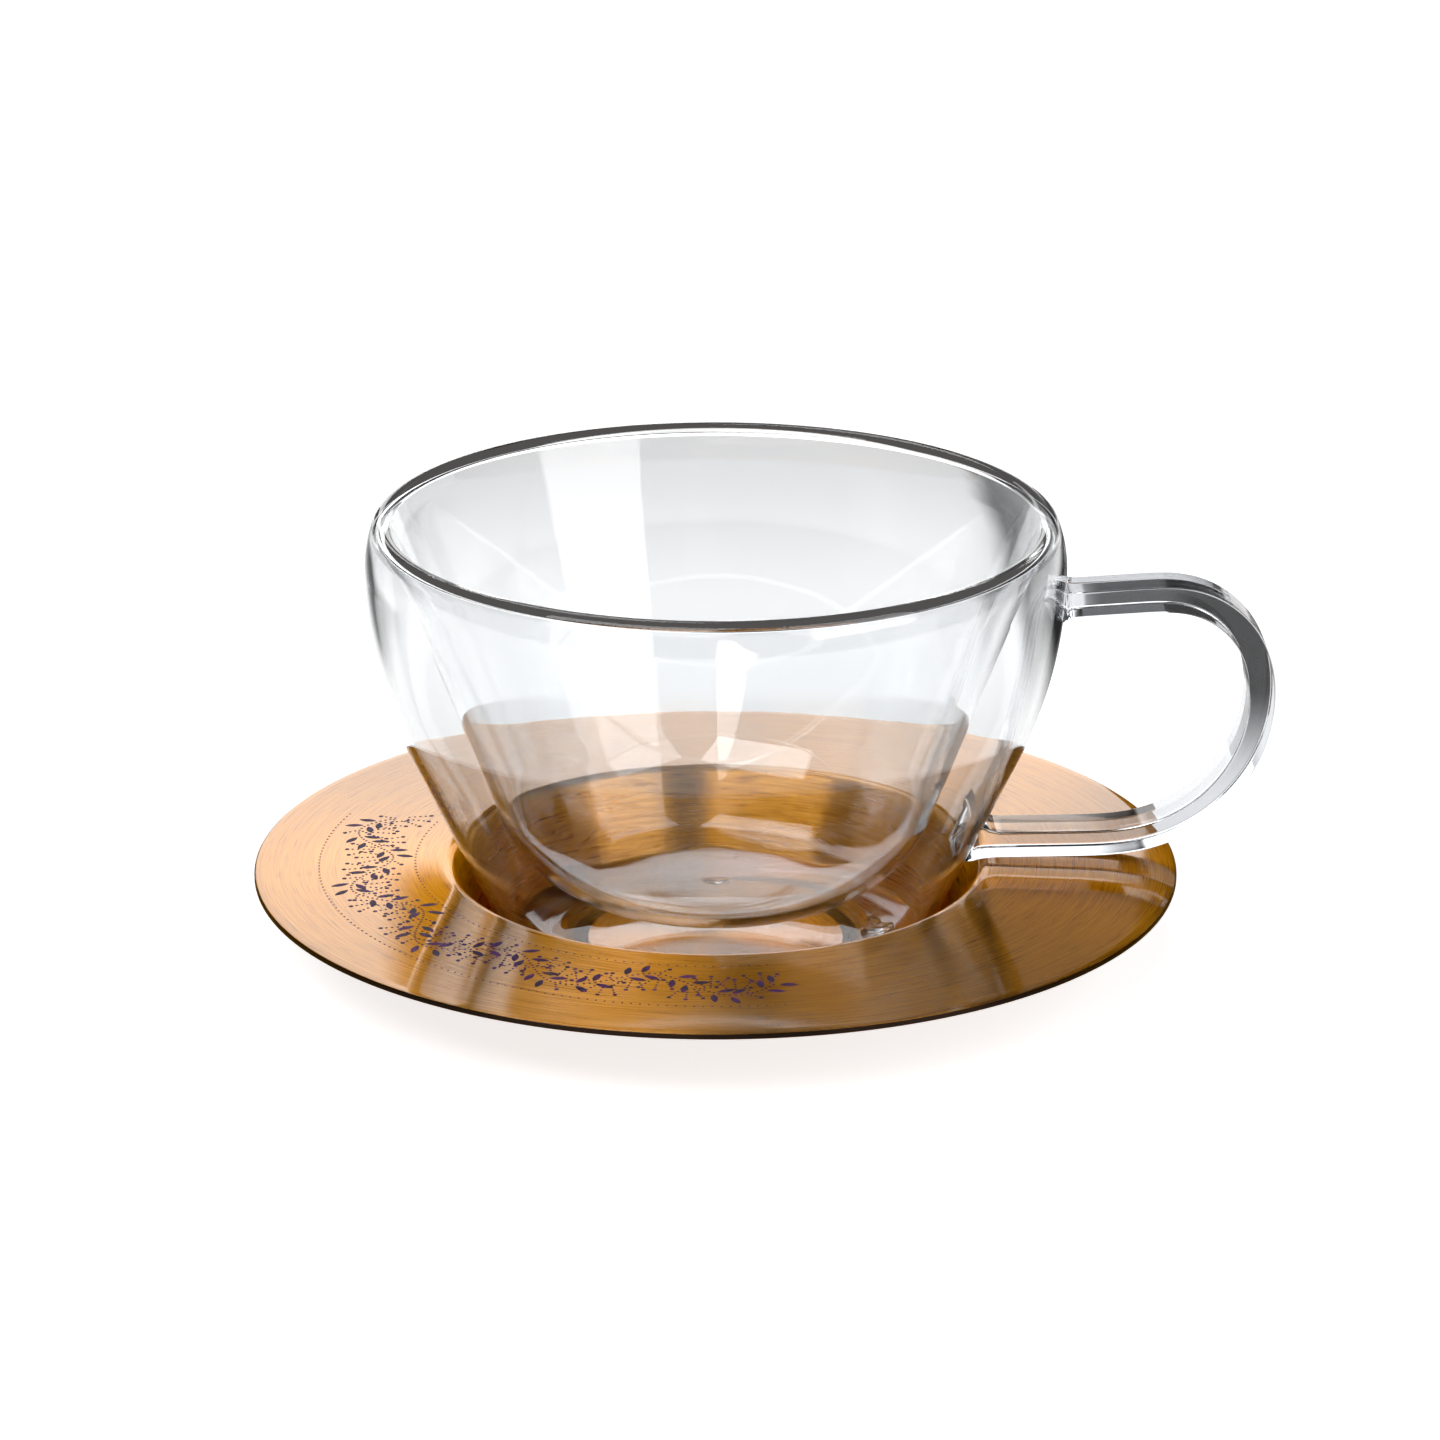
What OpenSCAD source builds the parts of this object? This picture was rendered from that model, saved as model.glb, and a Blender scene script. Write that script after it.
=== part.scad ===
// A double-walled glass cup with a strap handle, standing in the well of a pressed metal saucer.
// The saucer's underside is at z = 0, the common axis is Z, and the handle points along +X.

/* [Saucer] */
// Diameter over the brim
saucer_d = 140; // [125:1:180]
// Thickness of the pressed sheet
sheet = 0.9; // [0.6:0.1:1.2]
// Depth of the well below the brim's outer edge
well_depth = 12.6; // [11:0.1:16]
// Fall of the brim from the well's mouth to its outer edge
brim_fall = 0.8; // [0:0.1:1]
// Width of flat well floor around the cup's foot
floor_margin = 9.4; // [8:0.1:10]
// Room between the cup's wall and the brim, level with the brim's edge
well_gap = 4.5; // [4:0.1:8]
// Bend radius round the well's floor, on the upper side
floor_bend_r = 1.2; // [1:0.1:4.2]
// Bend radius round the well's mouth, on the upper side
mouth_bend_r = 2; // [1.5:0.1:5.2]

/* [Bowls] */
// Height of the cup from its foot to the top of the rim
cup_h = 67.4; // [58:0.1:82]
// Diameter of the outer bowl at its widest ring
cup_d = 105.1; // [92:0.1:128]
// Thickness of the blown glass in both bowls
wall = 1.3; // [1:0.1:1.5]
// Thickness of the fused rim where the two bowls meet
rim_t = 3.2; // [3.1:0.1:4.4]
// Distance from the rim's outer side to the widest ring, across
rim_inset = 1.1; // [0.6:0.1:2]
// Distance from the top of the rim down to the widest ring
belly_drop = 7.4; // [5:0.1:10]
// Radius of the outer bowl's long side curve
belly_curve_r = 66; // [56:1:90]
// Slope of the outer bowl's lower wall, in degrees from upright
lower_slope = 25.5; // [22:0.5:28]
// Radius of the outer bowl's rounded lower edge
foot_edge_r = 12.4; // [8:0.1:15]
// Width of the ring that the cup stands on
foot_ring_w = 5; // [3:0.5:8]
// Rise of the hollow inside the standing ring
foot_hollow = 0.6; // [0.3:0.1:1.2]
// Slope of the inner bowl's wall, in degrees from upright
inner_slope = 20.5; // [18:0.5:22]
// Radius of the inner bowl's rounded lower edge
inner_edge_r = 22; // [14:0.5:24]
// Height of the inner bowl's underside above the cup's foot
inner_base_h = 8.6; // [6:0.1:14]
// Diameter of the drip point under the inner bowl
drip_d = 2.4; // [1.5:0.1:4]
// Depth of the drip point under the inner bowl
drip_h = 0.6; // [0.3:0.1:1]

/* [Handle] */
// Width of the strap, seen from outside
strap_w = 8; // [6:0.1:10]
// Thickness of the strap
strap_t = 4; // [3:0.1:5]
// Radius of the strap's rounded corners
strap_corner_r = 1; // [0.5:0.1:1.4]
// Distance from the widest ring of the cup to the outside of the handle
handle_reach = 31.85; // [28:0.05:42]
// Gap between the handle and the brim's outer edge
brim_gap = 1.3; // [0.8:0.1:6]
// Bend radius of the strap's lower bend, at mid thickness
lower_bend_r = 23.1; // [20:0.1:26]
// Bend radius of the strap's upper bend, at mid thickness
upper_bend_r = 15.6; // [12:0.1:18]
// Fall of the upper arm towards the cup, in degrees
upper_fall = 3; // [0:0.5:6]
// Length of the fused end at the upper arm
upper_weld_l = 3.2; // [2.5:0.1:5]
// Length of the fused end at the lower arm, along its middle
lower_weld_l = 5; // [4:0.1:7]
// How far a fused end spreads past the strap on each side
weld_spread = 0.9; // [0.4:0.1:1.5]
// How far the lower fused end spreads upwards along the sloping wall
lower_weld_rise = 3.2; // [1:0.1:4]

/* [Vent seal] */
// Diameter of the vent hole through the outer bowl
vent_d = 2.6; // [1.5:0.1:4]
// Distance of the vent hole outside the cup's flat foot
vent_offset = 1.6; // [1.5:0.1:3]
// Direction of the vent hole, in degrees from the handle
vent_angle = -8; // [-180:1:180]
// Diameter of the glass drop that closes the vent
drop_d = 5.4; // [4.5:0.1:7]
// Diameter of the pulled-off tip on the drop
drop_tip_d = 2; // [1:0.1:2.6]

/* [Hidden] */
$fn = 96;
arc_steps = 14;
corner_steps = 4;
glass = [0.80, 0.87, 0.90, 0.45];
bronze = [0.76, 0.55, 0.36];

// Heights and radii that follow from the sizes above; cup heights count from the cup's foot
saucer_h = sheet + well_depth;
rim_bead_r = rim_t / 2;
rim_r = cup_d / 2 - rim_inset - rim_bead_r;
rim_h = cup_h - rim_bead_r;
belly_h = cup_h - belly_drop;
bead_rise = rim_h - belly_h;
bead_inset = rim_inset + rim_bead_r;
shoulder_r = (bead_inset * bead_inset + bead_rise * bead_rise - rim_bead_r * rim_bead_r) / (2 * rim_inset);
shoulder_centre = [cup_d / 2 - shoulder_r, belly_h];
belly_centre = [cup_d / 2 - belly_curve_r, belly_h];
bead_centre = [rim_r, rim_h];

// The point at an angle on a circle, and a run of such points
function on_circle(centre, radius, angle) = centre + radius * [cos(angle), sin(angle)];
function arc(centre, radius, from, to) =
    [for (i = [0 : arc_steps]) on_circle(centre, radius, from + (to - from) * i / arc_steps)];

// The centre of a rounded edge that meets a sloping wall and a level base: the wall passes
// through a point, leans outwards by a slope, and the base lies at a height
function edge_centre(point, slope, radius, base_h) =
    let (run = (point[1] - base_h - radius + radius * sin(slope)) / cos(slope))
    [point[0] - run * sin(slope) - radius * cos(slope), base_h + radius];

wall_top = on_circle(belly_centre, belly_curve_r, -lower_slope);
foot_centre = edge_centre(wall_top, lower_slope, foot_edge_r, 0);
foot_r = foot_centre[0];
hollow_r = foot_r - foot_ring_w;
hollow_curve_r = (hollow_r * hollow_r + foot_hollow * foot_hollow) / (2 * foot_hollow);
hollow_half_angle = asin(hollow_r / hollow_curve_r);

// Radius of the outer bowl's side at a height on its long curve or its straight lower wall
function side_r(h) = h > wall_top[1]
    ? belly_centre[0] + sqrt(belly_curve_r * belly_curve_r - (h - belly_h) * (h - belly_h))
    : wall_top[0] - (wall_top[1] - h) * tan(lower_slope);

// One face of the outer bowl, from the axis outwards and up to the rim's joint; inset moves it into the glass
function outer_face(inset) = concat(
    [for (p = arc([0, foot_hollow - hollow_curve_r], hollow_curve_r + inset, 90, 90 - hollow_half_angle))
        [max(p[0], 0), p[1]]],
    arc(foot_centre, foot_edge_r - inset, -90, -lower_slope),
    arc(belly_centre, belly_curve_r - inset, -lower_slope, 0),
    arc(shoulder_centre, shoulder_r - inset, 0, asin(bead_rise / (shoulder_r - inset))));
function reversed(points) = [for (i = [len(points) - 1 : -1 : 0]) points[i]];

// The inner bowl's wall touches the rim bead on its inner side
inner_top = on_circle(bead_centre, rim_bead_r, 180 - inner_slope);
inner_side = inner_top + wall * [cos(inner_slope), -sin(inner_slope)];
inner_centre = edge_centre(inner_side, inner_slope, inner_edge_r, inner_base_h);
inner_side_at_rim = inner_side[0] - (inner_side[1] - rim_h) * tan(inner_slope);
drip_curve_r = (drip_d * drip_d / 4 + drip_h * drip_h) / (2 * drip_h);
drip_half_angle = asin(drip_d / 2 / drip_curve_r);
bead_outer_angle = atan2(bead_rise, shoulder_r - bead_inset);

// The well fits the cup: its floor takes the foot, and its mouth the side of the bowl
well_floor_r = foot_r + floor_margin;
well_mouth_r = side_r(well_depth) + well_gap;
floor_bend = [well_floor_r, sheet + floor_bend_r];
mouth_bend = [well_mouth_r, saucer_h + brim_fall - mouth_bend_r];
bend_step = mouth_bend - floor_bend;
well_wall_angle = atan2(bend_step[1], bend_step[0]) + asin((floor_bend_r + mouth_bend_r) / norm(bend_step));
brim_r = saucer_d / 2;
brim_slope = atan2(brim_fall, brim_r - well_mouth_r);

// The handle's bends and arms, in the plane of the axis
handle_x = cup_d / 2 + handle_reach - strap_t / 2;
lower_arm_h = well_depth + brim_gap + strap_t / 2;
bends_h = lower_arm_h + lower_bend_r;
lower_bend = [handle_x - lower_bend_r, bends_h];
upper_bend = [handle_x - upper_bend_r, bends_h];
upper_arm_start = on_circle(upper_bend, upper_bend_r, 90 + upper_fall);
upper_weld_x = side_r(bends_h + upper_bend_r) + upper_weld_l;
upper_arm_l = (upper_arm_start[0] - upper_weld_x) / cos(upper_fall);
lower_weld_x = side_r(lower_arm_h) + lower_weld_l;
lower_arm_l = lower_bend[0] - lower_weld_x;

// The vent's place on the rounded lower edge, and the height of the glass there
vent_r = foot_r + vent_offset;
vent_wall_h = foot_edge_r - sqrt(pow(foot_edge_r - wall, 2) - vent_offset * vent_offset);

// Everything that belongs to the cup stands on the well's floor
module on_floor() {
    translate([0, 0, sheet]) children();
}

// The outer bowl filled solid, used to cut what is fused onto it
module outer_filled() {
    rotate_extrude() polygon(concat(outer_face(0), [[0, rim_h]]));
}

module outer_shell() {
    rotate_extrude() polygon(concat(outer_face(0), reversed(outer_face(wall))));
}

module at_vent() {
    rotate([0, 0, vent_angle]) translate([vent_r, 0, 0]) children();
}

module vent_hole() {
    at_vent() translate([0, 0, -wall]) cylinder(d = vent_d, h = foot_edge_r);
}

// Section of the strap, with x through its thickness; grow makes it larger all round, rise taller upwards
module strap_section(grow = 0, rise = 0) {
    corner = strap_corner_r + grow;
    low = -strap_t / 2 - grow;
    high = strap_t / 2 + grow + rise;
    side = strap_w / 2 + grow;
    corners = [[high, side, 0], [low, side, 90], [low, -side, 180], [high, -side, 270]];
    polygon([for (c = corners, i = [0 : corner_steps])
        let (turn = c[2] + 90 * i / corner_steps)
        on_circle([c[0] - sign(c[0]) * corner, c[1] - sign(c[1]) * corner], corner, turn)]);
}

// A bend of the strap, from one angle to another in the handle's plane
module strap_bend(centre, radius, from, to) {
    translate([centre[0], 0, centre[1]])
        rotate([90, 0, 0])
        rotate([0, 0, from])
        rotate_extrude(angle = to - from)
        translate([radius, 0]) strap_section();
}

// Places a shape at the start of a straight arm, with z towards the cup and x upwards
module along_arm(start, fall) {
    translate([start[0], 0, start[1]]) rotate([0, -90 - fall, 0]) children();
}

// A fused end: the strap's section spreads out and runs into the wall, which trims it
module fused_end(start, fall, length, rise) {
    skin = 0.02;
    difference() {
        along_arm(start, fall) hull() {
            linear_extrude(skin) strap_section();
            translate([0, 0, length + wall]) linear_extrude(skin) strap_section(weld_spread, rise);
        }
        outer_filled();
    }
}

module saucer() {
    color(bronze) rotate_extrude() polygon(concat(
        [[0, 0], [0, sheet]],
        arc(floor_bend, floor_bend_r, -90, well_wall_angle - 90),
        arc(mouth_bend, mouth_bend_r, well_wall_angle + 90, 90 - brim_slope),
        [[brim_r, saucer_h], [brim_r, saucer_h - sheet]],
        arc(mouth_bend, mouth_bend_r - sheet, 90 - brim_slope, well_wall_angle + 90),
        arc(floor_bend, floor_bend_r + sheet, well_wall_angle - 90, -90)));
}

module outer_bowl() {
    color(glass) on_floor() difference() {
        outer_shell();
        vent_hole();
    }
}

// The rim bead is drawn out of the inner bowl and fused onto the outer bowl's upper edge
module inner_bowl() {
    color(glass) on_floor() rotate_extrude() polygon(concat(
        [[0, inner_base_h + wall]],
        arc(inner_centre, inner_edge_r - wall, -90, -inner_slope),
        arc(bead_centre, rim_bead_r, 180 - inner_slope, bead_outer_angle),
        [on_circle(shoulder_centre, shoulder_r, asin(bead_rise / shoulder_r)), [inner_side_at_rim, rim_h]],
        arc(inner_centre, inner_edge_r, -inner_slope, -90),
        [for (p = arc([0, inner_base_h - drip_h + drip_curve_r], drip_curve_r, drip_half_angle - 90, -90))
            [max(p[0], 0), p[1]]]));
}

module handle() {
    color(glass) on_floor() {
        along_arm(upper_arm_start, upper_fall) linear_extrude(upper_arm_l) strap_section();
        strap_bend(upper_bend, upper_bend_r, 0, 90 + upper_fall);
        strap_bend(lower_bend, lower_bend_r, -90, 0);
        along_arm([lower_bend[0], lower_arm_h], 0) linear_extrude(lower_arm_l) strap_section();
    }
}

module handle_upper_weld() {
    start = upper_arm_start - upper_arm_l * [cos(upper_fall), sin(upper_fall)];
    color(glass) on_floor() fused_end(start, upper_fall, upper_weld_l, 0);
}

module handle_lower_weld() {
    color(glass) on_floor() fused_end([lower_weld_x, lower_arm_h], 0, lower_weld_l, lower_weld_rise);
}

module vent_seal() {
    color(glass) on_floor() {
        difference() {
            at_vent() translate([0, 0, vent_wall_h]) {
                sphere(d = drop_d);
                translate([0, 0, drop_d / 2]) sphere(d = drop_tip_d);
            }
            outer_shell();
            at_vent() translate([0, 0, -drop_d]) cylinder(d = 2 * drop_d, h = drop_d);
        }
        intersection() {
            vent_hole();
            outer_shell();
        }
    }
}

saucer();
outer_bowl();
inner_bowl();
handle();
handle_upper_weld();
handle_lower_weld();
vent_seal();
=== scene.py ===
"""A double-walled glass cup with a strap handle, in the well of a brushed bronze-coloured saucer."""
import math

import bmesh
import bpy
from mathutils import Matrix, Quaternion, Vector, noise


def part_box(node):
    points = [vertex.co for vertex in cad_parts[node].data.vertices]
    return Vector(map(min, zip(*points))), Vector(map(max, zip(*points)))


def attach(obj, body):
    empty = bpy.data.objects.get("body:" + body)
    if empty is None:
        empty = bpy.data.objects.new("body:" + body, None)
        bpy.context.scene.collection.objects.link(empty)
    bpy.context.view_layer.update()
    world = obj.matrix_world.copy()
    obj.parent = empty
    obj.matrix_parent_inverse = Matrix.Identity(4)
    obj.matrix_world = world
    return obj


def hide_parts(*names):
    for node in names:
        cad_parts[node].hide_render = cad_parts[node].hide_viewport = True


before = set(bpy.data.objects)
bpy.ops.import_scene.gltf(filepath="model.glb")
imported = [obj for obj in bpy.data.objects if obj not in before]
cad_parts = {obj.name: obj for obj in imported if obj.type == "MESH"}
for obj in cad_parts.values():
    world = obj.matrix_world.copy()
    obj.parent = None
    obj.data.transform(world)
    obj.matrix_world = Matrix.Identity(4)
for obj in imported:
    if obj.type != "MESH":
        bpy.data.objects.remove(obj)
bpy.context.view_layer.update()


# The saucer is one disc of thin sheet steel, pressed into a slightly falling brim and a well for the cup.
# It turns under an abrasive pad, which leaves fine rings all round, and is then coated bronze and
# trimmed to a plain cut edge. It stands on the underside of its well.
MM = 0.001
TURN_STEPS = 256
MERGE_GAP = 0.0002 * MM
saucer_low, saucer_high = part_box("saucer")
brim_r = saucer_high.x
brim_fall = 0.8 * MM
brim_top = saucer_high.z - brim_fall
sheet = 0.9 * MM
cut_edge_r = 0.22 * MM
well_floor_r = 32.5 * MM
well_mouth_r = 41.4 * MM
floor_bend_r = 1.2 * MM
mouth_bend_r = 2 * MM
deep_bronze = (0.46, 0.180, 0.017, 1)
pale_bronze = (0.78, 0.360, 0.056, 1)
# The outermost band of the rim, on its cut edge, is coloured near black.
near_black_edge = (0.030, 0.018, 0.012, 1)
bronze_edge_tint = (0.92, 0.62, 0.30, 1)
well_lacquer = 0.15
fine_pitch = 0.16 * MM
coarse_pitch = 0.45 * MM
scratch_pitch = 0.3 * MM
cut_band_w = 0.1 * MM
cut_band_soft = 0.06 * MM


def arc(centre, radius, start, end, steps):
    """Points of an arc in an outline of (distance from the axis, height), with angles in degrees."""
    points = []
    for step in range(steps + 1):
        angle = math.radians(start + (end - start) * step / steps)
        points.append((centre[0] + radius * math.cos(angle), centre[1] + radius * math.sin(angle)))
    return points


def straight(start, end, steps):
    """Points that cut a straight stretch of an outline into steps, without its two ends."""
    return [tuple(Vector(start).lerp(Vector(end), step / steps)) for step in range(1, steps)]


def turned(outline, steps=TURN_STEPS):
    """A bmesh of an outline, from axis to axis, turned once about the axis and closed, facing outwards."""
    mesh = bmesh.new()
    points = [mesh.verts.new((max(r, 0), 0, z)) for r, z in outline]
    edges = [mesh.edges.new(pair) for pair in zip(points, points[1:])]
    bmesh.ops.spin(mesh, geom=points + edges, cent=(0, 0, 0), axis=(0, 0, 1), angle=math.tau, steps=steps,
                   use_merge=True)
    bmesh.ops.remove_doubles(mesh, verts=mesh.verts, dist=MERGE_GAP)
    bmesh.ops.recalc_face_normals(mesh, faces=mesh.faces)
    return mesh


def smooth_piece(name, mesh, material):
    """Makes a smooth-shaded object of a bmesh, with one material."""
    data = bpy.data.meshes.new(name)
    mesh.to_mesh(data)
    mesh.free()
    data.shade_smooth()
    data.materials.append(material)
    piece = bpy.data.objects.new(name, data)
    bpy.context.scene.collection.objects.link(piece)
    return piece


class Shade:
    """A value in a material's node tree. Python's operators on it add Math nodes."""

    def __init__(self, tree, socket=None):
        self.tree = tree
        self.socket = socket

    def node(self, kind, settings=None, sockets=None, output=0):
        """Adds a node of any kind, makes its settings, fills its sockets and gives one of its outputs."""
        made = self.tree.nodes.new("ShaderNode" + kind)
        for name, value in (settings or {}).items():
            setattr(made, name, value)
        for name, value in (sockets or {}).items():
            if isinstance(value, Shade):
                self.tree.links.new(value.socket, made.inputs[name])
            else:
                made.inputs[name].default_value = value
        return Shade(self.tree, made.outputs[output]) if len(made.outputs) else None

    def maths(self, operation, first, second=0.0):
        return self.node("Math", {"operation": operation}, {0: first, 1: second})

    def __add__(self, other):
        return self.maths("ADD", self, other)

    def __sub__(self, other):
        return self.maths("SUBTRACT", self, other)

    def __rsub__(self, other):
        return self.maths("SUBTRACT", other, self)

    def __mul__(self, other):
        return self.maths("MULTIPLY", self, other)

    def __truediv__(self, other):
        return self.maths("DIVIDE", self, other)

    __radd__ = __add__
    __rmul__ = __mul__

    def clamped(self):
        return self.node("Clamp", sockets={"Value": self})

    def between(self, low, high):
        """0 below the low value, 1 above the high one and a smooth step from one to the other."""
        return self.node("MapRange", {"interpolation_type": "SMOOTHSTEP"},
                         {"Value": self, "From Min": low, "From Max": high})

    def blend(self, first, second):
        """Goes from the first colour to the second as this value goes from 0 to 1."""
        return self.node("Mix", {"data_type": "RGBA"}, {"Factor": self, 6: first, 7: second}, output=2)


def empty_material(name):
    """A material with an empty node tree, and the Shade that starts its nodes."""
    material = bpy.data.materials.new(name)
    material.use_nodes = True
    material.node_tree.nodes.clear()
    return material, Shade(material.node_tree)


def around_axis(start):
    """The distance from the axis, and a vector with the direction from the axis in it, for ring patterns."""
    place = start.node("TexCoord", output="Object")
    flat = start.node("VectorMath", {"operation": "MULTIPLY"}, {0: place, 1: (1, 1, 0)})
    radius = start.node("VectorMath", {"operation": "LENGTH"}, {0: flat}, output="Value")
    direction = start.node("VectorMath", {"operation": "NORMALIZE"}, {0: flat})
    return radius, direction


def ring_noise(start, radius, direction, pitch, arc_share, detail):
    """Noise drawn out into rings: pitch is their spacing, arc_share how often they change in a radian."""
    along = start.node("VectorMath", {"operation": "SCALE"}, {0: direction, "Scale": arc_share})
    across = start.node("CombineXYZ", sockets={"Z": radius / pitch})
    where = start.node("VectorMath", {"operation": "ADD"}, {0: along, 1: across})
    return start.node("TexNoise", sockets={
        "Vector": where, "Scale": 1.0, "Detail": detail, "Roughness": 0.6})


def brushed_bronze():
    """Bronze-coated steel with fine rings, a lacquer that is thin in the well, and a dark cut edge."""
    material, start = empty_material("brushed_bronze")
    radius, direction = around_axis(start)
    fine = ring_noise(start, radius, direction, fine_pitch, 5.0, 1.0)
    coarse = ring_noise(start, radius, direction, coarse_pitch, 4.0, 2.0)
    scratches = ring_noise(start, radius, direction, scratch_pitch, 9.0, 0.0).between(0.62, 0.78)
    tone = (fine * 0.7 + coarse * 0.3).between(0.25, 0.75)
    coat = (tone - 0.3 * scratches).clamped().blend(deep_bronze, pale_bronze)
    edge = radius.between(brim_r - cut_band_w, brim_r - cut_band_w + cut_band_soft)
    lacquer = well_lacquer + (1 - well_lacquer) * radius.between(well_mouth_r - mouth_bend_r, well_mouth_r)
    colour = edge.blend(coat, near_black_edge)
    roughness = 0.24 + 0.1 * fine + 0.06 * scratches + 0.2 * edge
    height = fine * 0.5 + coarse * 0.4 - scratches * 0.5
    bump = start.node("Bump", sockets={"Strength": 0.15, "Distance": 0.02 * MM, "Height": height})
    shader = start.node("BsdfPrincipled", sockets={
        "Base Color": colour, "Metallic": 1.0, "Roughness": roughness, "Normal": bump,
        "Specular Tint": bronze_edge_tint, "Anisotropic": 1.0, "Anisotropic Rotation": 0.25,
        "Coat Weight": lacquer * (1 - edge), "Coat IOR": 1.7, "Coat Roughness": 0.06})
    start.node("OutputMaterial", sockets={"Surface": shader})
    return material


floor_bend = (well_floor_r, sheet + floor_bend_r)
mouth_bend = (well_mouth_r, saucer_high.z - mouth_bend_r)
bend_run = Vector(mouth_bend) - Vector(floor_bend)
wall_angle = math.degrees(math.atan2(bend_run.y, bend_run.x)
                          + math.asin((floor_bend_r + mouth_bend_r) / bend_run.length))
brim_slope = math.degrees(math.atan2(brim_fall, brim_r - well_mouth_r))
cut_r = brim_r - cut_edge_r
wall_foot = arc(floor_bend, floor_bend_r, -90, wall_angle - 90, 12)
wall_head = arc(mouth_bend, mouth_bend_r, wall_angle + 90, 90 - brim_slope, 16)
under_head = arc(mouth_bend, mouth_bend_r - sheet, 90 - brim_slope, wall_angle + 90, 16)
under_foot = arc(floor_bend, floor_bend_r + sheet, wall_angle - 90, -90, 12)
saucer_outline = [
    (0, sheet),
    *straight((0, sheet), wall_foot[0], 12),
    *wall_foot,
    *straight(wall_foot[-1], wall_head[0], 8),
    *wall_head,
    *straight(wall_head[-1], (cut_r, brim_top), 20),
    *arc((cut_r, brim_top - cut_edge_r), cut_edge_r, 90, 0, 4),
    *arc((cut_r, brim_top - sheet + cut_edge_r), cut_edge_r, 0, -90, 4),
    *straight((cut_r, brim_top - sheet), under_head[0], 20),
    *under_head,
    *straight(under_head[-1], under_foot[0], 8),
    *under_foot,
    *straight(under_foot[-1], (0, 0), 12),
    (0, 0),
]
saucer = smooth_piece("saucer_plate", turned(saucer_outline), brushed_bronze())
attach(saucer, "saucer")
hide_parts("saucer")


# The ornament is etched through the brim, on its left, as small holes. A leafy branch with berries and
# sprays of dots waves along the brim between two dotted lines. The holes are not cut: thin patches on the
# brim take their place, coloured dark purple in painted shade for the shadow under the saucer that shows
# through them.
branch_start = math.radians(158)
branch_end = math.radians(277)
branch_r = 52.6 * MM
branch_sway = 3.6 * MM
branch_waves = 4.5
stem_dot_r = 0.2 * MM
stem_dot_gap = 0.85 * MM
leaf_l = 2.8 * MM
leaf_w = 1.1 * MM
leaf_gap = 2.6 * MM
leaf_angle = math.radians(52)
leaf_taper = 2.4
leaf_reach = 0.75
angle_step = 0.001
berry_r = 0.36 * MM
berry_shares = (0.55, 0.55, 1)
berry_start = 0.9
border_dot_r = 0.17 * MM
border_dot_gap = 1.3 * MM
border_radii = (45.6 * MM, 60.2 * MM)
spray_gap = 4.4 * MM
spray_start = 2.2 * MM
spray_dots = 5
spray_angle = math.radians(26)
patch_rise = 0.02 * MM
patch_root = 0.05 * MM
# Painted shade: the dark purples of the etched holes, where the shadow under the saucer shows through.
painted_shade_dark = (0.030, 0.011, 0.045, 1)
painted_shade_purple = (0.120, 0.040, 0.150, 1)


def branch_point(angle):
    """The point of the branch at an angle round the brim, and the direction in which it grows."""
    share = (angle - branch_start) / (branch_end - branch_start)
    phase = math.tau * branch_waves * share
    radius = branch_r + branch_sway * math.sin(phase)
    climb = branch_sway * math.cos(phase) * math.tau * branch_waves / (branch_end - branch_start)
    out = Vector((math.cos(angle), math.sin(angle)))
    way = (out * climb + Vector((-out.y, out.x)) * radius).normalized()
    return out * radius, way


def along_branch(gap):
    """Angles round the brim, a gap apart along the branch."""
    angles = []
    angle = branch_start
    while angle < branch_end:
        angles.append(angle)
        here = branch_point(angle)[0]
        ahead = branch_point(angle + angle_step)[0]
        angle += angle_step * gap / (ahead - here).length
    return angles


def brim_height(distance):
    """Height of the brim's upper side at a distance from the axis."""
    return brim_top + brim_fall * (brim_r - distance) / (brim_r - well_mouth_r)


def shade_patch(mesh, centre, way, length, width, corners):
    """A thin closed patch on the brim: round, or a pointed leaf where it is longer than wide."""
    patch = bmesh.ops.create_circle(mesh, cap_ends=True, radius=0.5, segments=corners)["verts"]
    face = patch[0].link_faces[0]
    beside = Vector((-way.y, way.x))
    for point in patch:
        narrowed = 1 - leaf_taper * point.co.x ** 2 if length > width else 1
        spot = centre + way * point.co.x * length + beside * point.co.y * width * narrowed
        point.co = (*spot, brim_height(spot.length) - patch_root)
    raised = bmesh.ops.extrude_face_region(mesh, geom=[face])["geom"]
    for item in raised:
        if isinstance(item, bmesh.types.BMVert):
            item.co.z += patch_root + patch_rise


def painted_hole_shade():
    """Painted shade in the etched holes: dark purple, more purple in places, for the shadow under the saucer
    seen through them.
    """
    material, start = empty_material("painted_hole_shade")
    place = start.node("TexCoord", output="Object")
    cloud = start.node("TexNoise", sockets={"Vector": place, "Scale": 420.0, "Detail": 2.0})
    colour = cloud.between(0.38, 0.66).blend(painted_shade_dark, painted_shade_purple)
    shader = start.node("BsdfPrincipled", sockets={
        "Base Color": colour, "Roughness": 0.4 + 0.2 * cloud, "Specular IOR Level": 0.15})
    start.node("OutputMaterial", sockets={"Surface": shader})
    return material


# Every mark of the ornament is a thin patch in painted shade, in place of a hole through the brim.
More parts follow.
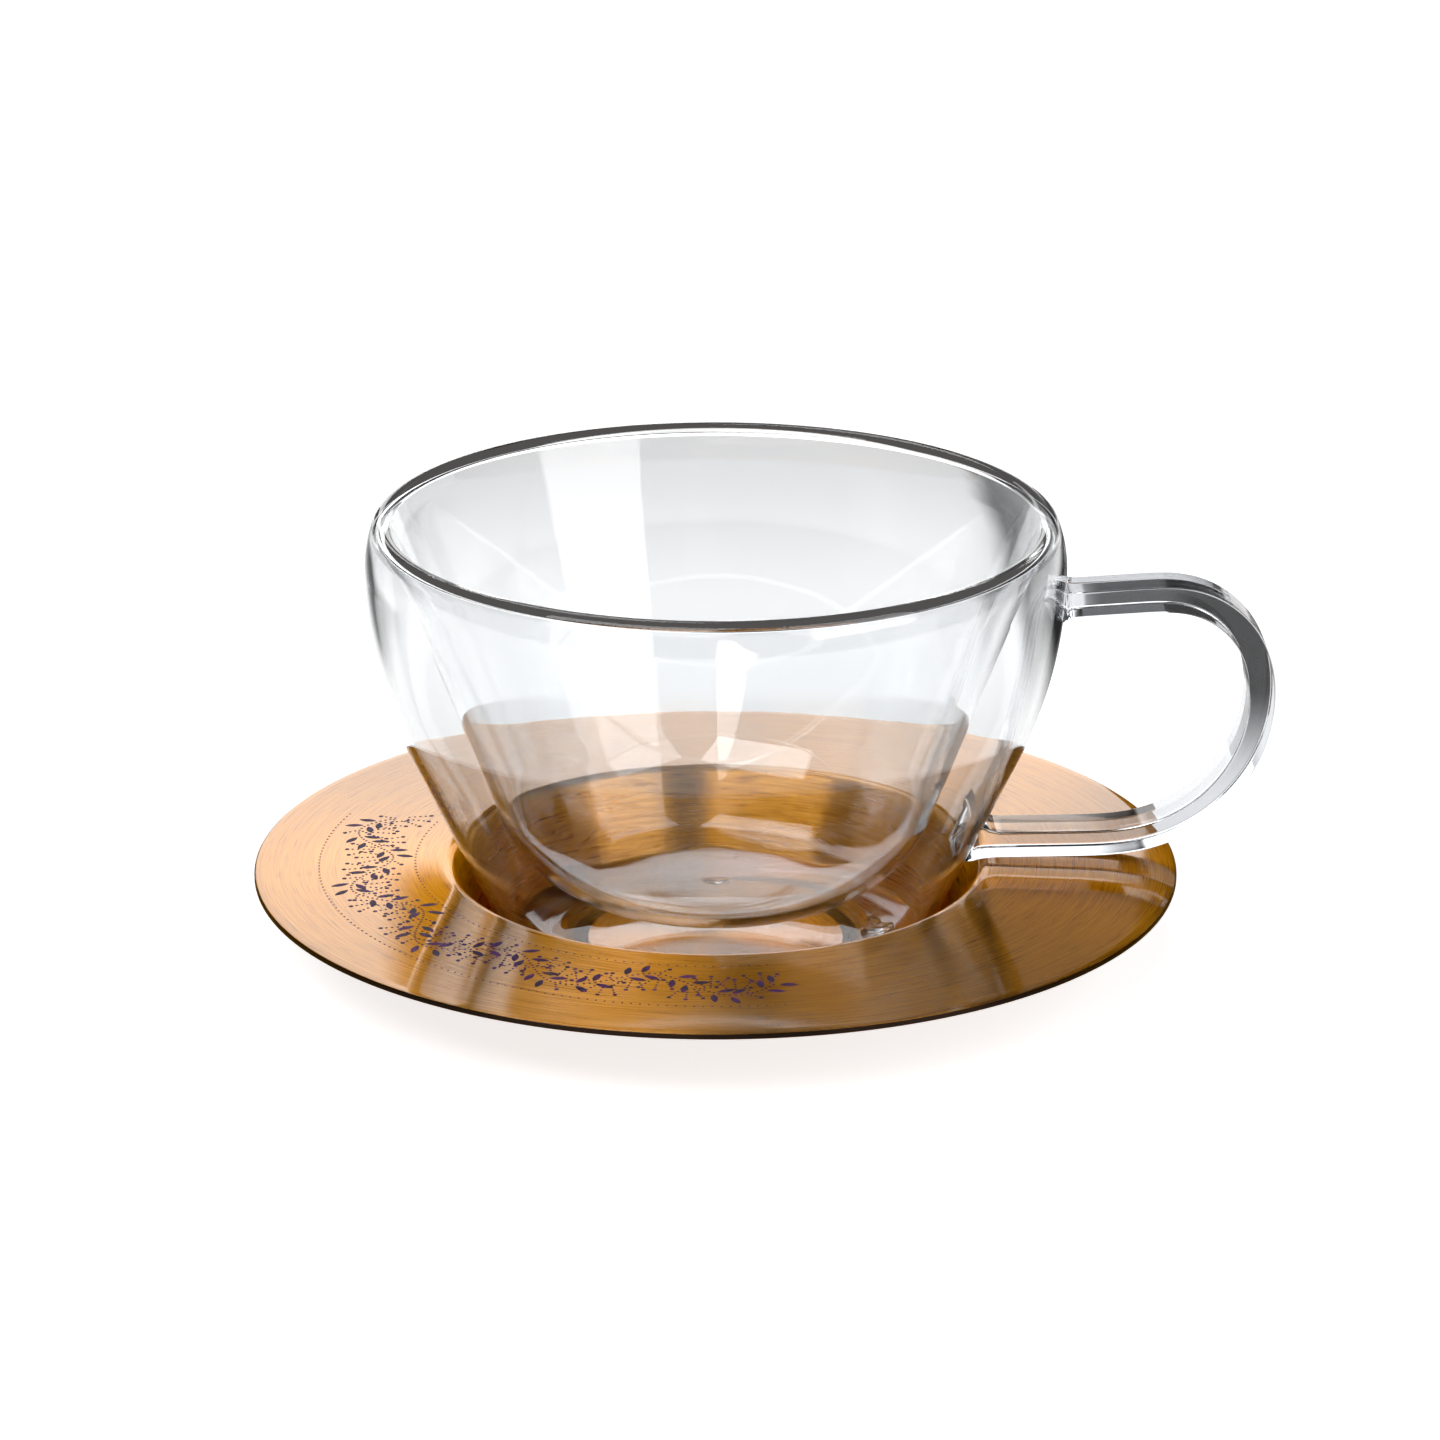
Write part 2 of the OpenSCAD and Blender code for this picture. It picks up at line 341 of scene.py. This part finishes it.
ornament_mesh = bmesh.new()
for angle in along_branch(stem_dot_gap):
    place, way = branch_point(angle)
    shade_patch(ornament_mesh, place, way, 2 * stem_dot_r, 2 * stem_dot_r, 8)
for count, angle in enumerate(along_branch(leaf_gap)):
    place, way = branch_point(angle)
    for side in (1, -1):
        lean = way.copy()
        lean.rotate(Matrix.Rotation(side * leaf_angle, 2))
        if count % 3:
            shade_patch(ornament_mesh, place + lean * leaf_l * leaf_reach, lean, leaf_l, leaf_w, 12)
        else:
            for step, share in enumerate(berry_shares):
                berry = place + lean * stem_dot_gap * (step + berry_start)
                shade_patch(ornament_mesh, berry, lean, 2 * berry_r * share, 2 * berry_r * share, 10)
for angle in along_branch(spray_gap):
    place = branch_point(angle)[0]
    free_side = place.normalized() * (1 if place.length < branch_r else -1)
    for turn in (-1, 0, 1):
        lean = free_side.copy()
        lean.rotate(Matrix.Rotation(turn * spray_angle, 2))
        for dot in range(spray_dots):
            size = stem_dot_r if dot < spray_dots - 1 else berry_r
            spot = place + lean * (spray_start + stem_dot_gap * dot)
            shade_patch(ornament_mesh, spot, lean, 2 * size, 2 * size, 8)
for border_r in border_radii:
    dots = int((branch_end - branch_start) * border_r / border_dot_gap)
    for dot in range(dots + 1):
        angle = branch_start + (branch_end - branch_start) * dot / dots
        out = Vector((math.cos(angle), math.sin(angle)))
        shade_patch(ornament_mesh, out * border_r, out, 2 * border_dot_r, 2 * border_dot_r, 8)
bmesh.ops.recalc_face_normals(ornament_mesh, faces=ornament_mesh.faces)
ornament = smooth_piece("brim_ornament", ornament_mesh, painted_hole_shade())
ornament.data.shade_flat()
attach(ornament, "saucer")


# The two bowls are blown from clear borosilicate glass and fused at the rim, where the inner bowl's edge
# is rolled out into a bead. The space between them is closed, so they are one piece of glass with a
# hollow in it. The inner bowl keeps a drip point under its base from the blowing.
foot_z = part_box("outer_bowl")[0].z
cup_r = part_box("outer_bowl")[1].x
rim_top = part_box("inner_bowl")[1].z
wall = 1.3 * MM
rim_bead_r = 1.6 * MM
rim_inset = 1.1 * MM
belly_drop = 7.4 * MM
belly_curve_r = 66 * MM
lower_slope = 25.5
foot_edge_r = 12.4 * MM
foot_ring_w = 5 * MM
foot_hollow = 0.6 * MM
inner_slope = 20.5
inner_edge_r = 22 * MM
inner_base_h = 8.6 * MM
drip_r = 1.2 * MM
drip_h = 0.6 * MM
crevice_r = 0.3 * MM
ripple = 0.02 * MM
ripple_grain = 9 * MM
glass_tint = (0.982, 0.990, 0.996, 1)
glass_ior = 1.47
# Painted light: the glass glows this dim grey where a ray reaches this bounce depth, in place of light
# trapped in the rim.
trapped_depth = 24
trapped_light_glow = (0.088, 0.084, 0.082, 1)
black = (0, 0, 0, 1)


def on_circle(centre, radius, angle):
    return Vector(centre) + radius * Vector((math.cos(math.radians(angle)), math.sin(math.radians(angle))))


def edge_centre(point, slope, radius, base):
    """Centre of a rounded edge between a wall through a point, leaning out by a slope, and a level base."""
    lean = math.radians(slope)
    run = (point[1] - base - radius + radius * math.sin(lean)) / math.cos(lean)
    return Vector((point[0] - run * math.sin(lean) - radius * math.cos(lean), base + radius))


def clear_glass(name, tint):
    """Clear glass with faint streaks from the making. Where a ray in it reaches the bounce limit, it glows
    dim grey:
    painted light in place of the light that stays trapped in it.
    """
    material, start = empty_material(name)
    place = start.node("TexCoord", output="Object")
    streaks = start.node("TexNoise", sockets={"Vector": place, "Scale": 55.0, "Detail": 1.5})
    bump = start.node("Bump", sockets={"Strength": 0.12, "Distance": 0.3 * MM, "Height": streaks})
    depth = start.node("LightPath", output="Ray Depth")
    trapped = start.node("Math", {"operation": "COMPARE"}, {0: depth, 1: trapped_depth, 2: 0.5})
    shader = start.node("BsdfPrincipled", sockets={
        "Base Color": tint, "Roughness": 0.0, "IOR": glass_ior, "Transmission Weight": 1.0, "Normal": bump,
        "Emission Color": trapped.blend(black, trapped_light_glow), "Emission Strength": 1.0})
    start.node("OutputMaterial", sockets={"Surface": shader})
    return material


bead = Vector((cup_r - rim_inset - rim_bead_r, rim_top - rim_bead_r))
belly_z = rim_top - belly_drop
bead_rise = bead.y - belly_z
bead_inset = rim_inset + rim_bead_r
shoulder_r = (bead_inset ** 2 + bead_rise ** 2 - rim_bead_r ** 2) / (2 * rim_inset)
shoulder = Vector((cup_r - shoulder_r, belly_z))
belly = Vector((cup_r - belly_curve_r, belly_z))
bead_meets_shoulder = math.degrees(math.atan2(bead_rise, shoulder_r - bead_inset))
wall_start = on_circle(belly, belly_curve_r, -lower_slope)
foot = edge_centre(wall_start, lower_slope, foot_edge_r, foot_z)
hollow_r = foot.x - foot_ring_w
hollow_curve_r = (hollow_r ** 2 + foot_hollow ** 2) / (2 * foot_hollow)
hollow_half = math.degrees(math.asin(hollow_r / hollow_curve_r))
hollow = Vector((0, foot_z + foot_hollow - hollow_curve_r))
inner_top = on_circle(bead, rim_bead_r, 180 - inner_slope)
inner_side = inner_top + on_circle((0, 0), wall, -inner_slope)
inner_base_z = foot_z + inner_base_h
inner_edge = edge_centre(inner_side, inner_slope, inner_edge_r, inner_base_z)
drip_curve_r = (drip_r ** 2 + drip_h ** 2) / (2 * drip_h)
drip_half = math.degrees(math.asin(drip_r / drip_curve_r))
drip = Vector((0, inner_base_z - drip_h + drip_curve_r))
crevice_top = math.degrees(math.asin((bead_rise - 2 * crevice_r) / (shoulder_r - wall)))


def side_radius(z):
    """Distance of the outer bowl's outside from the axis, at a height on its long curve or lower wall."""
    if z > wall_start.y:
        return belly.x + math.sqrt(belly_curve_r ** 2 - (z - belly_z) ** 2)
    return wall_start.x - (wall_start.y - z) * math.tan(math.radians(lower_slope))


def rippled(mesh, low, high):
    """Moves the points that lie between two heights a little up and down, as melted glass settles."""
    for point in mesh.verts:
        if low < point.co.z < high:
            point.co.z += ripple * noise.noise(point.co / ripple_grain)


skin_outline = [
    (0, inner_base_z + wall),
    *straight((0, inner_base_z + wall), (inner_edge.x, inner_base_z + wall), 10),
    *arc(inner_edge, inner_edge_r - wall, -90, -inner_slope, 28),
    *straight(on_circle(inner_edge, inner_edge_r - wall, -inner_slope), inner_top, 12),
    *arc(bead, rim_bead_r, 180 - inner_slope, bead_meets_shoulder, 22),
    *arc(shoulder, shoulder_r, bead_meets_shoulder, 0, 10)[1:],
    *arc(belly, belly_curve_r, 0, -lower_slope, 20)[1:],
    *straight(wall_start, on_circle(foot, foot_edge_r, -lower_slope), 10),
    *arc(foot, foot_edge_r, -lower_slope, -90, 24),
    *straight((foot.x, foot_z), (hollow_r, foot_z), 4),
    *arc(hollow, hollow_curve_r, 90 - hollow_half, 90, 10),
]
cavity_outline = [
    *arc(drip, drip_curve_r, -90, drip_half - 90, 6),
    *straight((drip_r, inner_base_z), (inner_edge.x, inner_base_z), 10),
    *arc(inner_edge, inner_edge_r, -90, -inner_slope, 28),
    *straight(on_circle(inner_edge, inner_edge_r, -inner_slope), inner_side, 12),
    *arc((inner_side.x + crevice_r, bead.y - crevice_r), crevice_r, 170, 20, 8),
    *arc(shoulder, shoulder_r - wall, crevice_top, 0, 10),
    *arc(belly, belly_curve_r - wall, 0, -lower_slope, 20)[1:],
    *straight(on_circle(belly, belly_curve_r - wall, -lower_slope),
              on_circle(foot, foot_edge_r - wall, -lower_slope), 10),
    *arc(foot, foot_edge_r - wall, -lower_slope, -90, 24),
    *straight((foot.x, foot_z + wall), (hollow_r, foot_z + wall), 4),
    *arc(hollow, hollow_curve_r + wall, 90 - hollow_half, 90, 10),
]
bowls_mesh = turned(skin_outline)
rippled(bowls_mesh, inner_base_z, inner_base_z + 3 * wall)
cavity_mesh = turned(cavity_outline)
rippled(cavity_mesh, foot_z, inner_base_z + wall)
bmesh.ops.reverse_faces(cavity_mesh, faces=cavity_mesh.faces)
cavity_data = bpy.data.meshes.new("cavity")
cavity_mesh.to_mesh(cavity_data)
cavity_mesh.free()
bowls_mesh.from_mesh(cavity_data)
bpy.data.meshes.remove(cavity_data)
bowls = smooth_piece("fused_bowls", bowls_mesh, clear_glass("blown_glass", glass_tint))
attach(bowls, "cup")
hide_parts("outer_bowl", "inner_bowl")


# The handle is a flat strap of solid glass, drawn hot and bent into a loop. Both of its ends are melted
# onto the outer bowl: the glass spreads there and runs up the sloping wall at the lower end.
strap_w = 8 * MM
strap_t = 4 * MM
strap_corner_r = 0.3 * MM
lower_bend_r = 23.1 * MM
upper_bend_r = 15.6 * MM
upper_fall = math.radians(3)
upper_weld_l = 3.2 * MM
lower_weld_l = 5 * MM
weld_spread = 0.9 * MM
lower_weld_rise = 3.2 * MM
weld_gap = 0.012 * MM
flat_margin = 0.03 * MM
cut_tolerance = 0.001 * MM
thick_tint = (0.76, 0.78, 0.81, 1)
bend_steps = 180
bend_ease = 0.35
weld_steps = 14
flare_end = 0.98
handle_low, handle_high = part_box("handle")
handle_x = handle_high.x - strap_t / 2
lower_arm_z = handle_low.z + strap_t / 2
bends_z = lower_arm_z + lower_bend_r


def strap_section(mesh):
    """A flat face with softened corners and cross lines, as wide and thick as the strap."""
    corners = bmesh.ops.create_grid(mesh, x_segments=1, y_segments=1, size=0.5)["verts"]
    bmesh.ops.scale(mesh, verts=corners, vec=(strap_t, strap_w, 1))
    bmesh.ops.bevel(mesh, geom=corners, offset=strap_corner_r, affect="VERTICES", segments=6, profile=0.5,
                    material=-1)
    for axis, width in ((Vector((1, 0, 0)), strap_t), (Vector((0, 1, 0)), strap_w)):
        edge = width / 2 - strap_corner_r - flat_margin
        for share in (-1, -0.5, 0, 0.5, 1):
            bmesh.ops.bisect_plane(mesh, geom=mesh.verts[:] + mesh.edges[:] + mesh.faces[:],
                                   plane_co=axis * edge * share, plane_no=axis, dist=cut_tolerance)
    return mesh.faces[:]


def drawn_on(mesh, faces, shift):
    """Extrudes a section by a shift and gives its new faces and their vertices."""
    edges = dict.fromkeys(edge for face in faces for edge in face.edges)
    made = bmesh.ops.extrude_face_region(mesh, geom=faces + list(edges))["geom"]
    points = [item for item in made if isinstance(item, bmesh.types.BMVert)]
    bmesh.ops.translate(mesh, verts=points, vec=shift)
    return [item for item in made if isinstance(item, bmesh.types.BMFace)], points


def bent_on(mesh, faces, place, heading, turn, radius, first_share):
    """Draws a section on round a bend that starts at a share of its curvature and eases out at its end."""
    shares = []
    for step in range(bend_steps):
        done = (step + 0.5) / bend_steps
        rise = min(done / bend_ease, 1)
        fall = min((1 - done) / bend_ease, 1)
        ease_in = first_share + (1 - first_share) * rise * rise * (3 - 2 * rise)
        shares.append(ease_in * fall * fall * (3 - 2 * fall))
    turns = [turn * share / sum(shares) for share in shares]
    left_over = [turn - sum(turns[:step]) - turns[step] / 2 for step in range(bend_steps)]
    pace = radius * (1 - math.cos(turn)) / sum(math.sin(abs(angle)) for angle in left_over)
    for angle in turns:
        way = Vector((math.cos(heading + angle / 2), 0, math.sin(heading + angle / 2)))
        faces, points = drawn_on(mesh, faces, way * pace)
        place = place + way * pace
        heading += angle
        bmesh.ops.rotate(mesh, verts=points, cent=place, matrix=Matrix.Rotation(-angle, 3, "Y"))
    return faces, place


def melted_end(mesh, faces, direction, length, rise):
    """Spreads the strap's end like a fillet over a length, lifts its upper side, and lays it on the wall."""
    spread = 1.0
    lifted = 0.0
    for step in range(1, weld_steps + 1):
        share = step / weld_steps
        flare = 1 - math.sqrt(1 - share * share * flare_end)
        faces, points = drawn_on(mesh, faces, direction * length / weld_steps)
        middle = sum((point.co for point in points), Vector()) / len(points)
        wanted = 1 + 2 * weld_spread / strap_w * flare
        bmesh.ops.scale(mesh, verts=points, vec=(1, wanted / spread, wanted / spread),
                        space=Matrix.Translation(-middle))
        spread = wanted
        if rise:
            low = min(point.co.z for point in points)
            high = max(point.co.z for point in points)
            for point in points:
                point.co.z += (rise * flare - lifted) * (point.co.z - low) / (high - low)
            lifted = rise * flare
    for point in points:
        point.co.x = math.sqrt(side_radius(point.co.z) ** 2 - point.co.y ** 2) + weld_gap


handle_mesh = bmesh.new()
section = strap_section(handle_mesh)
crown = Vector((handle_x, 0, bends_z))
bmesh.ops.translate(handle_mesh, verts=handle_mesh.verts, vec=crown)
upper_turn = math.radians(90) + upper_fall
arm, place = bent_on(handle_mesh, section, crown, math.radians(90), upper_turn, upper_bend_r,
                     upper_bend_r / lower_bend_r)
upper_way = Vector((-math.cos(upper_fall), 0, -math.sin(upper_fall)))
upper_l = (place.x - side_radius(place.z) - upper_weld_l) / math.cos(upper_fall)
arm = drawn_on(handle_mesh, arm, upper_way * upper_l)[0]
melted_end(handle_mesh, arm, upper_way, upper_weld_l, 0)
arm, place = bent_on(handle_mesh, section, crown, math.radians(-90), math.radians(-90), lower_bend_r, 1)
lower_l = place.x - side_radius(lower_arm_z) - lower_weld_l
arm = drawn_on(handle_mesh, arm, Vector((-lower_l, 0, 0)))[0]
melted_end(handle_mesh, arm, Vector((-1, 0, 0)), lower_weld_l, lower_weld_rise)
bmesh.ops.recalc_face_normals(handle_mesh, faces=handle_mesh.faces)
handle = smooth_piece("strap_handle", handle_mesh, clear_glass("drawn_glass", thick_tint))
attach(handle, "cup")
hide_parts("handle", "handle_upper_weld", "handle_lower_weld")


# The vent drop is a lump of glass that is melted over the small vent in the outer bowl's floor after the
# rim is fused. The glass rod is pulled away from it, which leaves a crooked tip.
vent_r = foot.x + 1.6 * MM
vent_angle = math.radians(-8)
drop_r = 2.7 * MM
drop_h = 2.3 * MM
tip_r = 1.0 * MM
tip_h = 1.5 * MM
tip_lean = Vector((-0.5, -0.25, 0))
lump_size = 0.35 * MM
lump_grain = 2.2 * MM
lump_seed = 7


def floor_height(distance):
    """Height of the outer bowl's inside floor, at a distance from the axis near the rounded edge."""
    if distance < foot.x:
        return foot_z + wall
    return foot.y - math.sqrt((foot_edge_r - wall) ** 2 - (distance - foot.x) ** 2)


drop_outline = [
    (0, 0),
    *straight((0, 0), (drop_r, 0), 3),
    *arc((drop_r * 0.72, drop_h * 0.4), drop_r * 0.28, -90, 50, 8),
    *arc((0, drop_h * 0.2), drop_h * 0.85, 45, 62, 4),
    *arc((0, drop_h + tip_h * 0.35), tip_r, -20, 90, 8),
]
drop_mesh = turned(drop_outline, 48)
middle = Vector((vent_r * math.cos(vent_angle), vent_r * math.sin(vent_angle), 0))
noise.seed_set(lump_seed)
for point in drop_mesh.verts:
    height = point.co.z
    lump = noise.noise_vector(point.co / lump_grain) * lump_size * min(height / drop_h, 1)
    lean = tip_lean * max(height - drop_h * 0.7, 0)
    point.co += lump + lean + middle
    point.co.z += floor_height(point.co.xy.length) + ripple + weld_gap
drop = smooth_piece("vent_drop", drop_mesh, clear_glass("melted_glass", thick_tint))
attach(drop, "cup")
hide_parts("vent_seal")


# The floor is a white paper sheet that glows a little, so that it reads white and still keeps the shadow.
# Two small dark cards lie on it behind the object, left and right. They show only in the glass and metal,
# where they draw the edges of the walls.
floor_r = 2.5
floor_white = (0.8, 0.8, 0.8, 1)
floor_gap = 0.02 * MM
white = (1, 1, 1, 1)
floor_glow = 0.8
glass_glow = 0.66
dark_left_x = -0.085
dark_right_x = 0.066
dark_front_y = 0.06
dark_w = 0.08
dark_l = 0.2
dark_fade = 0.06
dark_left_soft = 0.03
dark_right_soft = 0.01
dark_paper = (0.02, 0.02, 0.02, 1)
dark_grey = 0.17
black_x = 0.091
black_soft = 0.003
black_share = 0.92
far_grey = 0.35
far_start_y = 0.16
far_end_y = 0.26


def floor_sheet():
    material, start = empty_material("floor_sheet")
    place = start.node("TexCoord", output="Object")
    across = start.node("SeparateXYZ", sockets={"Vector": place}, output="X")
    depth = start.node("SeparateXYZ", sockets={"Vector": place}, output="Y")
    seen = start.node("LightPath", output="Is Camera Ray")
    glossy = start.node("LightPath", output="Is Glossy Ray")
    through = start.node("LightPath", output="Is Transmission Ray")
    scattered = start.node("LightPath", output="Diffuse Depth").clamped()
    right = across.between(dark_right_x, dark_right_x + dark_right_soft)
    right = right * (1 - across.between(dark_right_x + dark_w, dark_right_x + dark_w + dark_fade))
    left = 1 - across.between(dark_left_x - dark_left_soft, dark_left_x)
    left = left * across.between(dark_left_x - dark_w - dark_fade, dark_left_x - dark_w)
    covered = (left + right) * depth.between(dark_front_y, dark_front_y + dark_fade) * (1 - seen)
    covered = covered * (1 - depth.between(dark_front_y + dark_l, dark_front_y + dark_l + dark_fade))
    fade = 1 - far_grey * depth.between(far_start_y, far_end_y) * (1 - seen)
    glow = floor_glow * seen + glass_glow * (glossy + through).clamped() * (1 - seen) * fade
    dim = dark_grey * (1 - black_share * across.between(black_x - black_soft, black_x + black_soft))
    glow = glow * (1 - covered * (1 - dim)) * (1 - scattered)
    paper = start.node("BsdfDiffuse", sockets={"Color": floor_white})
    dark = start.node("BsdfDiffuse", sockets={"Color": dark_paper})
    sheet_shader = start.node("MixShader", sockets={0: covered, 1: paper, 2: dark})
    light = start.node("Emission", sockets={"Color": glow.blend(black, white), "Strength": 1.0})
    both = start.node("AddShader", sockets={0: sheet_shader, 1: light})
    start.node("OutputMaterial", sockets={"Surface": both})
    return material


floor_mesh = bmesh.new()
bmesh.ops.create_circle(floor_mesh, cap_ends=True, radius=floor_r, segments=64)
bmesh.ops.translate(floor_mesh, verts=floor_mesh.verts, vec=(0, 0, saucer_low.z - floor_gap))
floor = smooth_piece("floor", floor_mesh, floor_sheet())


# A white card stands behind the object and is hidden from the camera. It is low, a little higher in its
# middle, tall at its left, and grey above its right part. The brim and the flat base of the glass mirror
# the white, and the strap shows the grey.
card_w = 0.22
card_h = 0.26
card_y = 0.32
card_low_top = 0.138
card_rise = 0.016
card_middle_x = 0.03
card_middle_soft = 0.02
card_step_x = -0.058
card_soft = 0.006
card_light = 2.0
card_grey_x = 0.055
card_grey = (0.078, 0.079, 0.082, 1)


def white_card():
    material, start = empty_material("white_card")
    place = start.node("TexCoord", output="Object")
    across = start.node("SeparateXYZ", sockets={"Vector": place}, output="X")
    up = start.node("SeparateXYZ", sockets={"Vector": place}, output="Z")
    middle_end = (card_middle_x + card_middle_soft) ** 2
    middle = 1 - (across * across).between(card_middle_x ** 2, middle_end)
    low = 1 - (up - middle * card_rise).between(card_low_top - card_soft, card_low_top + card_soft)
    tall = 1 - across.between(card_step_x - card_soft, card_step_x + card_soft)
    lit = 1 - (1 - low) * (1 - tall)
    grey = across.between(card_grey_x - card_soft, card_grey_x + card_soft)
    light = start.node("Emission", sockets={"Color": lit.blend(card_grey, white), "Strength": card_light})
    clear = start.node("BsdfTransparent")
    both = start.node("MixShader", sockets={0: (lit + grey).clamped(), 1: clear, 2: light})
    start.node("OutputMaterial", sockets={"Surface": both})
    return material


card_mesh = bmesh.new()
bmesh.ops.create_grid(card_mesh, x_segments=1, y_segments=1, size=0.5)
bmesh.ops.scale(card_mesh, verts=card_mesh.verts, vec=(card_w, card_h, 1))
bmesh.ops.rotate(card_mesh, verts=card_mesh.verts, matrix=Matrix.Rotation(math.radians(90), 3, "X"))
bmesh.ops.translate(card_mesh, verts=card_mesh.verts, vec=(0, card_y, card_h / 2))
card = smooth_piece("back_card", card_mesh, white_card())
card.visible_camera = False
card.visible_diffuse = False
card.visible_shadow = False


# The light is a studio: a dim room, a softbox on each side in front of the object with a dark gap between
# them, and a narrow one above and behind it. The picture's own background is white.
room = (0.012, 0.012, 0.012, 1)
softbox_distance = 1.4


def studio_world():
    world = bpy.data.worlds.new("studio")
    bpy.context.scene.world = world
    world.use_nodes = True
    world.node_tree.nodes.clear()
    start = Shade(world.node_tree)
    seen = start.node("LightPath", output="Is Camera Ray")
    light = start.node("Background", sockets={"Color": seen.blend(room, white), "Strength": 1.0})
    start.node("OutputWorld", sockets={"Surface": light})


def softbox(name, azimuth, elevation, width, height, radiance):
    """A rectangular lamp turned to the object; azimuth 0 is in front of it, at -Y, and 90 at +X."""
    lamp = bpy.data.lights.new(name, "AREA")
    lamp.shape = "RECTANGLE"
    lamp.size = width
    lamp.size_y = height
    lamp.energy = radiance * math.pi * width * height
    box = bpy.data.objects.new(name, lamp)
    across, up = math.radians(azimuth), math.radians(elevation)
    out = Vector((math.sin(across) * math.cos(up), -math.cos(across) * math.cos(up), math.sin(up)))
    box.location = out * softbox_distance
    box.rotation_euler = out.to_track_quat("Z", "Y").to_euler()
    box.visible_camera = False
    bpy.context.scene.collection.objects.link(box)


studio_world()
softbox("right_softbox", azimuth=47, elevation=32, width=0.9, height=0.95, radiance=2.8)
softbox("left_softbox", azimuth=-33, elevation=47, width=1.3, height=0.62, radiance=4.4)
softbox("back_softbox", azimuth=191, elevation=50, width=0.36, height=0.6, radiance=2.6)


# The camera stands in front of the object and a little to its left, looking down on it.
camera_distance = 0.93
camera_elevation = math.radians(20.5)
camera_turn = math.radians(2.5)
focal_pixels = 6110
image_pixels = 1440
target_pixel = (715.5, 860.8)
glass_bounces = 32
camera_data = bpy.data.cameras.new("camera")
camera_data.sensor_width = 36
camera_data.lens = focal_pixels / image_pixels * camera_data.sensor_width
camera = bpy.data.objects.new("camera", camera_data)
towards = Vector((-math.sin(camera_turn) * math.cos(camera_elevation),
                  -math.cos(camera_turn) * math.cos(camera_elevation), math.sin(camera_elevation)))
camera.location = Vector((0, 0, brim_top)) + towards * camera_distance
aim = (-towards).to_track_quat("-Z", "Y")
tilt = Quaternion((1, 0, 0), math.atan((target_pixel[1] - image_pixels / 2) / focal_pixels))
pan = Quaternion((0, 1, 0), math.atan((target_pixel[0] - image_pixels / 2) / focal_pixels))
camera.rotation_euler = (aim @ tilt @ pan).to_euler()
bpy.context.scene.collection.objects.link(camera)
bpy.context.scene.camera = camera
bpy.context.scene.view_settings.view_transform = "Standard"
bpy.context.scene.cycles.max_bounces = glass_bounces
bpy.context.scene.cycles.transmission_bounces = glass_bounces
bpy.context.scene.cycles.glossy_bounces = glass_bounces
